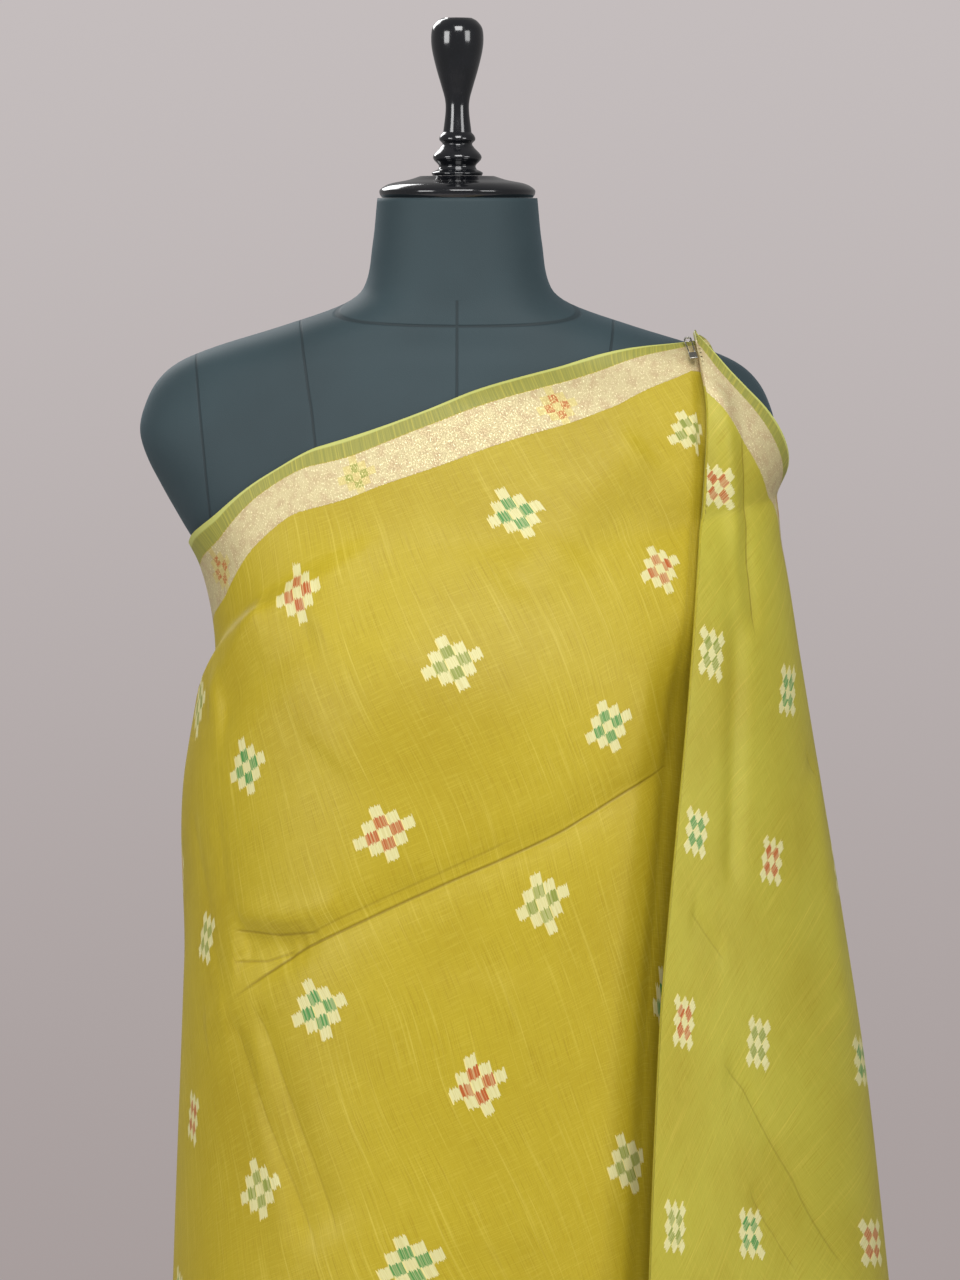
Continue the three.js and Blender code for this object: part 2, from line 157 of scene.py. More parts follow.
# Height of the upper border along the wrap; turn 0 ends at the pin, -90 is under the right arm
borderHeights = {
    "turn": [-330, -225, -180, -140, -112, -98, -90, -84.4, -78.8, -73, -67.5, -40.5, -16.6, -7.2, 0],
    "z": [1.095, 1.100, 1.112, 1.145, 1.192, 1.250, 1.289, 1.300, 1.315, 1.342, 1.361, 1.392, 1.411,
          1.423, 1.427],
}


def lerp(a, b, f):
    return a + (b - a) * f


def smooth(value, low, high):
    f = np.clip((value - low) / (high - low), 0, 1)
    return f * f * (3 - 2 * f)


def readTable(table, key, column, at):
    keys = np.array(table[key], float)
    values = np.array(table[column], float)
    last = len(keys) - 1
    at = np.clip(at, keys[0], keys[-1])
    i = np.clip(np.searchsorted(keys, at, side="right") - 1, 0, last - 1)
    before = np.maximum(np.arange(last + 1) - 1, 0)
    after = np.minimum(np.arange(last + 1) + 1, last)
    slope = (values[after] - values[before]) / (keys[after] - keys[before])
    span = keys[i + 1] - keys[i]
    f = (at - keys[i]) / span
    f2 = f * f
    f3 = f2 * f
    start = (2 * f3 - 3 * f2 + 1) * values[i] + (f3 - 2 * f2 + f) * span * slope[i]
    return start + (3 * f2 - 2 * f3) * values[i + 1] + (f3 - f2) * span * slope[i + 1]


def sectionRadius(angle, right, left, front, back):
    s = np.sin(np.radians(angle))
    c = np.cos(np.radians(angle))
    across = np.abs(s) / np.where(s > 0, right, left)
    along = np.abs(c) / np.where(c > 0, front, back)
    power = form["planPower"]
    return (across ** power + along ** power) ** (-1 / power)


def torsoRadius(angle, z):
    half = readTable(torsoSections, "z", "half", z)
    front = readTable(torsoSections, "z", "front", z)
    back = readTable(torsoSections, "z", "back", z)
    turn = np.abs((angle + 540) % 360 - 180)
    height = (z - bust["z"]) / np.where(z > bust["z"], bust["rise"], bust["fall"])
    swell = bust["depth"] * np.exp(-(((turn - bust["angle"]) / bust["spread"]) ** 2) - height ** 2)
    return sectionRadius(angle, half, half, front, back) + swell


def tableRadius(table, angle, z):
    sides = [readTable(table, "z", column, z) for column in ("right", "left", "front", "back")]
    return sectionRadius(angle, *sides)


def shoulderRadius(angle, z):
    off = ease["chest"] + ease["shoulder"] * smooth(z, ease["from"], ease["to"])
    held = torsoRadius(angle, z) + off
    hanging = tableRadius(shoulderSections, angle, z)
    return (held + hanging + np.sqrt((held - hanging) ** 2 + ease["blend"] ** 2)) / 2


def wrapRadius(angle, z, share):
    return lerp(tableRadius(skirtSections, angle, z), shoulderRadius(angle, z), share)


def planPoint(angle, radius, z):
    turn = np.radians(angle)
    return np.stack([radius * np.sin(turn), -radius * np.cos(turn), z + 0 * radius], axis=-1)


# Steps in degrees and metres for slopes, for walking round the cloth and for finding the fold
probe = {
    "turn": 1.5, "height": 0.004, "walk": 2.0, "walkRounds": 140,
    "search": (10.0, 90.0), "searchRounds": 24,
}


def surfaceNormal(angle, z, share):
    def at(a, h):
        return planPoint(a, wrapRadius(a, h, share), h)

    around = at(angle + probe["turn"], z) - at(angle - probe["turn"], z)
    up = at(angle, z + probe["height"]) - at(angle, z - probe["height"])
    normal = np.cross(around, up)
    return normal / np.linalg.norm(normal, axis=-1, keepdims=True)


def foldAngle(z):
    target = readTable(foldLine, "z", "x", z)
    low, high = (limit + 0 * z for limit in probe["search"])
    for _ in range(probe["searchRounds"]):
        middle = (low + high) / 2
        short = shoulderRadius(middle, z) * np.sin(np.radians(middle)) < target
        low = np.where(short, middle, low)
        high = np.where(short, high, middle)
    return (low + high) / 2


# The angle that lies a distance further round the cloth
def walkAround(start, distance, z):
    angle = start + 0 * distance
    left = distance + 0 * start
    here = planPoint(angle, shoulderRadius(angle, z), z)
    going = left > 0
    for _ in range(probe["walkRounds"]):
        onward = angle + probe["walk"]
        following = planPoint(onward, shoulderRadius(onward, z), z)
        length = np.linalg.norm(following - here, axis=-1)
        share = np.clip(np.where(going, left / length, 0), 0, 1)
        angle = angle + probe["walk"] * share
        left = left - length * share
        here = np.where((share >= 1)[..., None], following, here)
        going = share >= 1
        if not going.any():
            break
    return angle


def borderDrop(turn):
    top = readTable(borderHeights, "turn", "z", turn)
    slope = cloth["borderSlope"] * smooth(turn, wrap["slopeFrom"], wrap["slopeTo"])
    hem = top - cloth["width"] / np.cos(slope) + cloth["hemTakenUp"]
    return top, np.maximum(cloth["hemClearance"] + cloth["hemRise"], hem)


# The bulge of the cloth under the right arm
ridge = {
    "rise": 0.009, "backHeight": 1.195, "frontHeight": 1.262, "backTurn": -92, "frontTurn": -70,
    "lip": -0.006, "edge": 0.016, "fadeFrom": 0.060, "fadeTo": 0.190, "ends": 20, "frontStart": 2,
}


def underarmRidge(turn, z):
    along = (turn - ridge["backTurn"]) / (ridge["frontTurn"] - ridge["backTurn"])
    below = lerp(ridge["backHeight"], ridge["frontHeight"], along) - z
    back = smooth(turn, ridge["backTurn"] - ridge["ends"], ridge["backTurn"])
    front = 1 - smooth(turn, ridge["frontTurn"] - ridge["frontStart"], ridge["frontTurn"] + ridge["ends"])
    swell = smooth(below, ridge["lip"], ridge["edge"])
    swell = swell * (1 - smooth(below, ridge["fadeFrom"], ridge["fadeTo"]))
    return ridge["rise"] * back * front * swell


# How many columns each stretch of the sheet has
stretches = {"innerTurn": 30, "pleatSpan": 5, "outerTurn": 42, "front": 170, "tuckSpan": 5, "end": 120}


# The columns of the wrapped sheet, from its hidden start to the cut end that hangs behind
class Sheet:
    def __init__(self, rows):
        self.v = (np.arange(rows + 1) / rows) ** cloth["rowCrowding"]
        self.columns = []

    # Share is 0 on the skirt and 1 on the cloth to the shoulder; grain is the place on the hanging end
    def add(self, kind, angle, z, share, offset, grain=None):
        flat = 0 * self.v
        self.columns.append({
            "kind": kind, "angle": angle + flat, "z": z + flat, "share": share + flat,
            "offset": offset + flat, "grain": grain,
        })

    def points(self):
        angle = np.array([c["angle"] for c in self.columns])
        z = np.array([c["z"] for c in self.columns])
        share = np.array([c["share"] for c in self.columns])
        offset = np.array([c["offset"] for c in self.columns])
        base = planPoint(angle, wrapRadius(angle, z, share), z)
        return base, surfaceNormal(angle, z, share), offset


def addInnerTurn(sheet):
    z = lerp(cloth["waistTop"], cloth["hemClearance"], sheet.v)
    for i in range(stretches["innerTurn"]):
        angle = lerp(wrap["start"], pleats["left"], i / stretches["innerTurn"])
        lift = cloth["innerOffset"] * smooth(angle, wrap["onPleats"], pleats["left"])
        sheet.add("skirt", angle, z, 0, lift)


def addPleats(sheet):
    z = lerp(cloth["waistTop"], cloth["hemClearance"], sheet.v)
    middle = (pleats["left"] + pleats["right"]) / 2
    half = (pleats["right"] - pleats["left"]) / 2 + pleats["spread"] * (1 - z / cloth["waistTop"]) / 2
    span = stretches["pleatSpan"]
    reach = pleats["straight"]
    places = [(lerp(-reach, reach, i / span), 0) for i in range(span + 1)]
    places += pleats["turnBack"]
    for layer in range(pleats["layers"]):
        forward = 1 if layer % 2 == 0 else -1
        step = 1 - pleats["narrowing"] * layer
        for place, fold in places:
            if fold > 0 and layer == pleats["layers"] - 1:
                break
            offset = cloth["innerOffset"] + pleats["gap"] * (layer + 1 + fold)
            sheet.add("skirt", middle + forward * place * step * half, z, 0, offset)


def addOuterTurn(sheet):
    stack = cloth["innerOffset"] + pleats["gap"] * pleats["layers"]
    for i in range(stretches["outerTurn"]):
        turn = lerp(wrap["outer"], wrap["underArm"], i / stretches["outerTurn"])
        top, bottom = borderDrop(turn)
        share = smooth(turn, wrap["rise"], wrap["underArm"])
        offset = lerp(stack, cloth["innerOffset"], smooth(turn, wrap["offFrom"], wrap["offTo"]))
        sheet.add("outer", turn, lerp(top, bottom, sheet.v), share, offset * (1 - share))


def addFrontPanel(sheet):
    for i in range(stretches["front"]):
        share = i / stretches["front"]
        turn = lerp(wrap["underArm"], 0, share)
        top, bottom = borderDrop(turn)
        z = lerp(top, bottom, sheet.v)
        sheet.add("front", lerp(wrap["underArm"], foldAngle(z), share), z, 1, underarmRidge(turn, z))


def layerGap(drop):
    return lerp(tuck["gapTop"], tuck["gapLow"], smooth(drop, 0, tuck["gapSpan"]))


# In under the loose end, back out, and round into its edge
def addTuck(sheet):
    top, bottom = borderDrop(0)
    low = cloth["pinHeight"] - cloth["palluLength"] / math.sin(cloth["palluTurn"])
    span = stretches["tuckSpan"]
    layers = [(tuck["straight"] * i / span, 0) for i in range(span + 1)]
    layers += tuck["turnBack"]
    layers += [(tuck["straight"] - tuck["comesBack"] * i / span, 1) for i in range(span + 1)]
    rolls = [(-math.cos(a), math.sin(a)) for a in np.radians(tuck["roll"])]
    count = len(layers) + len(rolls)
    for index, (out, back) in enumerate(layers + rolls):
        z = lerp(top, lerp(bottom, low, index / count), sheet.v)
        drop = top - z
        gap = layerGap(drop)
        if index < len(layers):
            depth = tuck["depthTop"] + tuck["depthMore"] * smooth(drop, tuck["depthFrom"], tuck["depthTo"])
            sheet.add("tuck", walkAround(foldAngle(z), out * depth, z), z, 1, back * gap)
        else:
            angle = walkAround(foldAngle(z), np.maximum(0, 0.5 * gap * (1 + out)), z)
            sheet.add("tuck", angle, z, 1, gap * (1.5 + 0.5 * back))


def addHangingEnd(sheet):
    count = stretches["end"]
    cos = math.cos(cloth["palluTurn"])
    sin = math.sin(cloth["palluTurn"])
    length = cloth["palluLength"]
    for i in range(count + 1):
        f = i / count
        topPlace = np.array([length * f ** 2 * cos, length * f ** 2 * sin])
        endFold = np.array([0, length / sin])
        endMiddle = (np.array([length * cos, length * sin]) + endFold) / 2
        endPlace = lerp(endFold, endMiddle, f)
        along = lerp(topPlace[0], endPlace[0], sheet.v)
        drop = lerp(topPlace[1], endPlace[1], sheet.v)
        z = cloth["pinHeight"] - drop
        sheet.add("end", walkAround(foldAngle(z), along, z), z, 1, 2 * layerGap(drop), (along, drop))


# The diamonds lie in slanting rows; each that shows in the photo is given by its place and its steps
diamonds = {
    "stepAlong": 0.078, "stepDown": 0.0835, "firstDown": 0.083, "firstAlong": -0.3236,
    "chest": [
        (297, 593, 0, 0), (515, 514, 1, -1), (690, 430, 2, -2), (247, 768, 0, 1), (452, 663, 1, 0),
        (660, 568, 2, -1), (205, 938, 0, 2), (385, 833, 1, 1), (607, 727, 2, 0), (320, 1010, 1, 2),
        (541, 903, 2, 1), (260, 1190, 1, 3), (476, 1085, 2, 2), (410, 1265, 2, 3), (630, 1165, 3, 2),
    ],
    "end": [
        (718, 487, 3, -3), (712, 653, 4, -3), (788, 693, 4, -4), (697, 832, 5, -3), (771, 861, 5, -4),
        (685, 1022, 6, -3), (757, 1043, 6, -4), (863, 1062, 6, -5), (676, 1228, 7, -3), (749, 1233, 7, -4),
        (873, 1243, 7, -5),
    ],
    "foldSide": [(684, 640, -0.094, 0.221), (666, 800, -0.150, 0.317), (654, 1000, -0.196, 0.413),
                 (643, 1200, -0.246, 0.523)],
    "bandDown": 0.0235, "bandShift": 0.012,
    "band": [(207, 605, -1), (357, 478, 1), (558, 407, 3)],
    "bandLow": [(290, 515), (372, 487), (455, 460), (540, 431), (620, 404)],
}
weave = {
    "lean": 0.45, "leanFrom": 0.36, "leanTo": 1.3,
    "chestEnd": 0.34, "deep": 0.62, "edgeEase": 0.004,
    "takenUp": 0.07, "endOut": 0.2, "endOutFade": 0.6, "endDrop": 0.62, "endDropFade": 1.1,
    "selvedge": 0.0095, "band": 0.036, "slack": 0.0004,
}


# A smooth surface through scattered values, as a thin plate bends through them
def bendPlate(places, values):
    places = np.array(places)
    count = len(places)

    def lift(x, y):
        d2 = (x[..., None] - places[:, 0]) ** 2 + (y[..., None] - places[:, 1]) ** 2
        return d2 * np.log(d2 + 1e-12)

    tail = np.column_stack([np.ones(count), places])
    matrix = np.zeros((count + 3, count + 3))
    matrix[:count, :count] = lift(places[:, 0], places[:, 1]) + weave["slack"] * np.eye(count)
    matrix[:count, count:] = tail
    matrix[count:, :count] = tail.T
    weights = np.linalg.solve(matrix, np.append(values, [0, 0, 0]))

    def read(x, y):
        flat = weights[count] + weights[count + 1] * x + weights[count + 2] * y
        return lift(x, y) @ weights[:count] + flat

    return read


# Casts places in the photo's frame onto the grid, and gives where on the grid each lands
class Caster:
    def __init__(self, points):
        self.points = points
        self.down = points.shape[1]
        quads = gridQuads(*points.shape[:2]).tolist()
        self.tree = BVHTree.FromPolygons(points.reshape(-1, 3).tolist(), quads)

    def place(self, x, y):
        origin, line = sightLine(x, y)
        spot, _, face, _ = self.tree.ray_cast(origin, line)
        if spot is None:
            return None
        i, j = divmod(face, self.down - 1)
        corner = self.points[i, j]
        sides = np.column_stack([self.points[i + 1, j] - corner, self.points[i, j + 1] - corner])
        share = np.linalg.lstsq(sides, np.array(spot) - corner, rcond=None)[0]
        return i + min(max(share[0], 0), 1), j + min(max(share[1], 0), 1)


def readGrid(grid, place):
    i, j = int(place[0]), int(place[1])
    f, g = place[0] - i, place[1] - j
    near = lerp(grid[i, j], grid[i, j + 1], g)
    return lerp(near, lerp(grid[i + 1, j], grid[i + 1, j + 1], g), f)


def diamondTarget(across, down):
    along = diamonds["firstAlong"] + diamonds["stepAlong"] * (across - down)
    return along, diamonds["firstDown"] + diamonds["stepDown"] * (across + down)


# Differences between the plain unrolling and where the diamonds put the cloth: a bent plate for the shifts
# along the cloth, and the places and shifts down for a second plate
def bendTo(anchors, s, t, caster):
    places = []
    shifts = []
    for x, y, along, down in anchors:
        place = caster.place(x, y)
        if place is None:
            continue
        here = (readGrid(s, place), readGrid(t, place))
        places.append(here)
        shifts.append((0.0 if along is None else along - here[0], down - here[1], along is not None))
    lengthways = [k for k, shift in enumerate(shifts) if shift[2]]
    bendS = bendPlate([places[k] for k in lengthways], [shifts[k][0] for k in lengthways])
    return bendS, places, [shift[1] for shift in shifts]


# Where each point lies on the flat sheet: s along its length from the pin, t down from the border
def flatPlaces(sheet, points):
    caster = Caster(points)
    kinds = np.array([c["kind"] for c in sheet.columns])
    drops = np.linalg.norm(np.diff(points, axis=1), axis=-1)
    down = np.concatenate([np.zeros((len(points), 1)), np.cumsum(drops, axis=1)], axis=1)
    edge = np.linalg.norm(np.diff(points[:, 0], axis=0), axis=-1)
    along = np.concatenate([[0], np.cumsum(edge)])
    pin = along[np.flatnonzero(kinds == "front")[-1]]
    along = (along - pin)[:, None]
    t = cloth["width"] * down / down[:, -1:]
    lean = weave["lean"] * (1 - smooth(-along, weave["leanFrom"], weave["leanTo"]))
    s = along - lean * t
    wrapS, wrapT = bendChest(s, t, along, caster)
    endS, endT = bendEnd(sheet, s, t, kinds, caster)
    isEnd = kinds == "end"
    s = np.where(isEnd[:, None], endS, wrapS)
    t = np.where(isEnd[:, None], endT, wrapT)
    joinTuck(points, kinds, s, t)
    evenSkirt(points, kinds, s)
    return s, t


# Below the waist each row is as long on the flat sheet as it is round the body
def evenSkirt(points, kinds, s):
    front = np.flatnonzero(kinds == "front")[0]
    steps = np.linalg.norm(np.diff(points[:front + 1], axis=0), axis=-1)
    left = np.cumsum(steps[::-1], axis=0)[::-1]
    s[:front] = s[front] - left


def edgeHold(t):
    return 1 - np.exp(-t / weave["edgeEase"])


def bendChest(s, t, along, caster):
    anchors = [(x, y, *diamondTarget(a, b)) for x, y, a, b in diamonds["chest"]]
    anchors += diamonds["foldSide"]
    for x, y, step in diamonds["band"]:
        place = diamonds["firstAlong"] + diamonds["stepAlong"] * step - diamonds["bandShift"]
        anchors.append((x, y, place, diamonds["bandDown"]))
    anchors += [(x, y, None, weave["band"]) for x, y in diamonds["bandLow"]]
    bendS, places, shifts = bendTo(anchors, s, t, caster)
    for place in (0, -0.1, -0.2, -0.3):
        places.append((place, 0))
        shifts.append(0)
    bendT = bendPlate(places, shifts)
    nearS = np.maximum(s, -weave["chestEnd"] - weave["lean"] * t)
    nearT = np.minimum(t, weave["deep"])
    fade = 1 - smooth(-along, weave["leanFrom"], weave["leanTo"])
    fade = fade * (1 - smooth(t, weave["deep"], cloth["width"]))
    return s + bendS(nearS, nearT) * fade, t + bendT(nearS, nearT) * fade * edgeHold(t)


def bendEnd(sheet, s, t, kinds, caster):
    cos = math.cos(cloth["palluTurn"])
    sin = math.sin(cloth["palluTurn"])
    first = np.flatnonzero(kinds == "end")[0]
    out = np.zeros(s.shape)
    drop = np.zeros(s.shape)
    for i in range(first, len(kinds)):
        out[i], drop[i] = sheet.columns[i]["grain"]
    s = out * cos + drop * sin
    t = drop * cos - out * sin
    anchors = [(x, y, *diamondTarget(a, b)) for x, y, a, b in diamonds["end"]]
    bendS, places, shifts = bendTo(anchors, s, t, caster)
    for place in (0.05, 0.12, 0.2, 0.3):
        places.append((place, 0))
        shifts.append(0)
    bendT = bendPlate(places, shifts)
    nearOut = np.minimum(out, weave["endOut"])
    nearDrop = np.minimum(drop, weave["endDrop"])
    nearS = nearOut * cos + nearDrop * sin
    nearT = np.maximum(nearDrop * cos - nearOut * sin, 0)
    fade = 1 - smooth(out, weave["endOut"], weave["endOutFade"])
    fade = fade * (1 - smooth(drop, weave["endDrop"], weave["endDropFade"]))
    shiftS = weave["takenUp"] + (bendS(nearS, nearT) - weave["takenUp"]) * fade
    return s + shiftS, t + bendT(nearS, nearT) * fade * edgeHold(t)


# The cloth inside the tuck runs on evenly from the chest to the rounded edge of the hanging end
def joinTuck(points, kinds, s, t):
    columns = np.flatnonzero(kinds == "tuck")
    before, after = columns[0] - 1, columns[-1] + 1
    steps = np.linalg.norm(np.diff(points[before:after + 1], axis=0), axis=-1)
    reach = np.concatenate([np.zeros((1, points.shape[1])), np.cumsum(steps, axis=0)])
    left = reach[-1] - reach
    rolled = len(columns) - len(tuck["roll"])
    cos = math.cos(cloth["palluTurn"])
    sin = math.sin(cloth["palluTurn"])
    rollS = s[after] - left[rolled + 1] * cos
    rollT = t[after] + left[rolled + 1] * sin
    for k, i in enumerate(columns):
        if k >= rolled:
            s[i] = s[after] - left[k + 1] * cos
            t[i] = t[after] + left[k + 1] * sin
        else:
            share = reach[k + 1] / reach[rolled + 1]
            s[i] = lerp(s[before], rollS, share)
            t[i] = lerp(t[before], rollT, share)


def gridQuads(across, down, closed=False):
    index = np.arange(across * down).reshape(across, down)
    if closed:
        index = np.concatenate([index, index[:1]])
    return np.stack([index[:-1, :-1], index[:-1, 1:], index[1:, 1:], index[1:, :-1]], axis=-1).reshape(-1, 4)


def makeMesh(name, points, uv=None, closed=False):
    quads = gridQuads(*points.shape[:2], closed)
    mesh = bpy.data.meshes.new(name)
    mesh.from_pydata(points.reshape(-1, 3).tolist(), [], quads.tolist())
    if uv is not None:
        layer = mesh.uv_layers.new(name="flat")
        places = np.stack(uv, axis=-1).reshape(-1, 2)[quads.reshape(-1)]
        layer.data.foreach_set("uv", places.reshape(-1).astype(np.float32))
    mesh.polygons.foreach_set("use_smooth", [True] * len(mesh.polygons))
    mesh.update()
    piece = bpy.data.objects.new(name, mesh)
    bpy.context.scene.collection.objects.link(piece)
    return piece


# Creases and soft folds, by the places that they run through in the photo's frame. A negative rise is a
# trough. A crease has a sharp bottom line, a soft fold is rounded. Reach is how far each side slopes.
# Lines of creases that lie close together are kept in layers of their own.
# Line is how strong the painted shade drawn along a crease's bottom is.
creases = [
    {"route": [(228, 1004), (300, 950), (455, 880), (590, 815), (680, 768)], "rise": -0.0046, "reach": 0.013,
     "line": 1.0, "layer": 0},
    {"route": [(300, 938), (332, 922), (430, 878), (520, 836)], "rise": -0.0010, "reach": 0.006,
     "line": 0.35, "layer": 1},
    {"route": [(232, 930), (275, 936), (319, 932)], "rise": -0.0034, "reach": 0.007, "line": 0.6, "layer": 2},
    {"route": [(232, 962), (262, 962), (292, 952)], "rise": -0.0030, "reach": 0.007, "line": 0.5, "layer": 3},
    {"route": [(226, 1008), (205, 1030), (180, 1058)], "rise": 0.0016, "reach": 0.009},
    {"route": [(229, 1014), (250, 1070), (272, 1135), (319, 1257)], "rise": -0.0030, "reach": 0.009,
     "line": 0.25, "layer": 2},
    {"route": [(246, 997), (266, 1035), (292, 1108), (339, 1241)], "rise": -0.0028, "reach": 0.009,
     "line": 0.25, "layer": 1},
    {"route": [(190, 803), (207, 900), (226, 992)], "rise": -0.0012, "reach": 0.009},
    {"route": [(216, 803), (222, 860), (229, 916)], "rise": -0.0010, "reach": 0.007},
    {"route": [(690, 910), (707, 935), (725, 960)], "rise": -0.0018, "reach": 0.007, "line": 0.3, "layer": 1},
    {"route": [(722, 1060), (745, 1090), (795, 1180), (850, 1275)], "rise": -0.0024, "reach": 0.009,
     "line": 0.4, "layer": 0},
    {"route": [(750, 1190), (775, 1235), (800, 1275)], "rise": -0.0018, "reach": 0.007,
     "line": 0.3, "layer": 2},
    {"route": [(807, 754), (815, 777), (824, 800)], "rise": -0.0012, "reach": 0.006, "line": 0.4, "layer": 0},
    {"route": [(741, 428), (746, 490), (750, 560), (756, 640)], "rise": -0.0030, "reach": 0.008,
     "line": 0.75, "layer": 3},
]
# dark is how far the painted crease shade goes towards its colour, and width is how wide that shaded line is
creaseLook = {"layers": 4, "within": 0.014, "width": 0.0016, "dark": 0.60, "ends": 0.12}
softFolds = [
    {"route": [(672, 440), (630, 490), (560, 560)], "rise": -0.0016, "reach": 0.020},
    {"route": [(650, 440), (590, 510), (500, 600)], "rise": 0.0040, "reach": 0.024},
    {"route": [(320, 620), (265, 670), (215, 720)], "rise": -0.0040, "reach": 0.020},
    {"route": [(268, 600), (236, 650), (208, 700)], "rise": 0.0030, "reach": 0.014},
    {"route": [(738, 520), (738, 640), (735, 780), (733, 900)], "rise": -0.0032, "reach": 0.013},
    {"route": [(712, 372), (728, 440), (734, 520), (740, 640)], "rise": 0.0030, "reach": 0.010},
    {"route": [(238, 946), (270, 948), (306, 942)], "rise": -0.0034, "reach": 0.008},
    {"route": [(234, 912), (290, 918), (345, 903)], "rise": 0.0020, "reach": 0.008},
    {"route": [(700, 372), (702, 420), (704, 470)], "rise": -0.0016, "reach": 0.006},
    {"route": [(640, 620), (626, 760), (612, 900), (604, 1100), (600, 1270)], "rise": 0.0016, "reach": 0.022},
    {"route": [(250, 1020), (262, 1120), (290, 1270)], "rise": 0.0016, "reach": 0.012},
    {"route": [(480, 960), (470, 1100), (480, 1270)], "rise": 0.0020, "reach": 0.040},
    {"route": [(400, 640), (370, 700), (320, 760)], "rise": 0.0018, "reach": 0.030},
    {"route": [(800, 620), (812, 760), (830, 900), (850, 1050)], "rise": 0.0024, "reach": 0.016},
]


# Signed distance on the flat cloth from each point to a route, and how far along the route it is, 0 to 1
def routeDistance(route, s, t):
    best = np.full(s.shape, 9.0)
    side = np.full(s.shape, 9.0)
    along = np.zeros(s.shape)
    lengths = [math.dist(a, b) for a, b in zip(route, route[1:])]
    done = 0.0
    for (a, b), length in zip(zip(route, route[1:]), lengths):
        run = ((b[0] - a[0]) / length, (b[1] - a[1]) / length)
        place = (s - a[0]) * run[0] + (t - a[1]) * run[1]
        near = np.clip(place, 0, length)
        away = np.hypot(s - a[0] - near * run[0], t - a[1] - near * run[1])
        across = (s - a[0]) * run[1] - (t - a[1]) * run[0]
        closer = away < best
        best = np.where(closer, away, best)
        side = np.where(closer, np.copysign(away, across), side)
        along = np.where(closer, (done + near) / sum(lengths), along)
        done += length
    return side, along


# Beside the fold from the pin the chest dips under the loose end
foldDip = {"depth": 0.016, "before": 0.030, "beyond": 0.010, "from": 1.262, "full": 1.195}


def dipAtFold(points, kinds):
    fold = kinds.index("tuck")
    steps = np.linalg.norm(np.diff(points, axis=0), axis=-1)
    along = np.concatenate([np.zeros((1, points.shape[1])), np.cumsum(steps, axis=0)])
    dip = smooth(along - along[fold], -foldDip["before"], foldDip["beyond"])
    dip = dip * (1 - smooth(points[..., 2], foldDip["full"], foldDip["from"]))
    dip[fold + stretches["tuckSpan"]:] = 0
    return -foldDip["depth"] * dip


# Height that the folds add to each point, and for each layer of creases how near and how strong its painted
# shade line is
def creaseReliefs(points, s, t, sheet):
    caster = Caster(points)
    kinds = [c["kind"] for c in sheet.columns]
    firstTuck = kinds.index("tuck")
    shown = np.array([k in ("front", "end", "outer") for k in kinds])[:, None]
    shown[firstTuck:firstTuck + stretches["tuckSpan"]] = True
    height = dipAtFold(points, kinds)
    lines = [(np.ones(s.shape), np.zeros(s.shape)) for _ in range(creaseLook["layers"])]
    for fold in creases + softFolds:
        places = [caster.place(x, y) for x, y in fold["route"]]
        route = [(float(readGrid(s, p)), float(readGrid(t, p))) for p in places if p is not None]
        if len(route) < 2:
            continue
        side, along = routeDistance(route, s, t)
        ends = smooth(along, 0, creaseLook["ends"]) * (1 - smooth(along, 1 - creaseLook["ends"], 1))
        sharp = fold in creases
        relief = np.exp(-np.abs(side) / fold["reach"]) if sharp else np.exp(-(side / fold["reach"]) ** 2)
        height += fold["rise"] * relief * ends * shown
        if "line" in fold:
            nearest, depth = lines[fold["layer"]]
            closer = (np.abs(side) < np.minimum(np.abs(nearest), creaseLook["within"])) & shown
            nearest[closer] = side[closer]
            depth[closer] = (fold["line"] * ends)[closer]
    return height, lines


def addReading(piece, name, values):
    layer = piece.data.attributes.new(name, "FLOAT", "POINT")
    layer.data.foreach_set("value", values.reshape(-1).astype(np.float32))


def makeSaree():
    sheet = Sheet(cloth["rows"])
    addInnerTurn(sheet)
    addPleats(sheet)
    addOuterTurn(sheet)
    addFrontPanel(sheet)
    addTuck(sheet)
    addHangingEnd(sheet)
    base, normal, offset = sheet.points()
    points = base + normal * offset[..., None]
    s, t = flatPlaces(sheet, points)
    height, lines = creaseReliefs(points, s, t, sheet)
    points = points + normal * height[..., None]
    piece = makeMesh("saree_sheet", points, (s, t))
    # each layer's signed distance to its crease line, and the strength of the painted shade along that line
    for layer, (side, depth) in enumerate(lines):
        addReading(piece, f"creaseSide{layer}", side)
        addReading(piece, f"creaseShadeStrength{layer}", depth)
    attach(piece, "root")
    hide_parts("saree_cloth")
    cloth["width"]
    cloth["flatLength"]
    return piece


def makeTorso():
    rows = form["rows"]
    z = lerp(form["torsoBottom"], form["neckTop"], np.arange(rows + 1) / rows)
    angle = np.arange(form["around"]) * 360 / form["around"]
    angle, z = np.meshgrid(angle, z, indexing="ij")
    points = planPoint(angle, torsoRadius(angle, z), z)[:, ::-1]
    piece = makeMesh("torso_cover", points, closed=True)
    closeHoles(piece.data)
    return piece


def closeHoles(mesh):
    work = bmesh.new()
    work.from_mesh(mesh)
    bmesh.ops.holes_fill(work, edges=[e for e in work.edges if e.is_boundary], sides=0)
    bmesh.ops.recalc_face_normals(work, faces=work.faces)
    work.to_mesh(mesh)
    work.free()


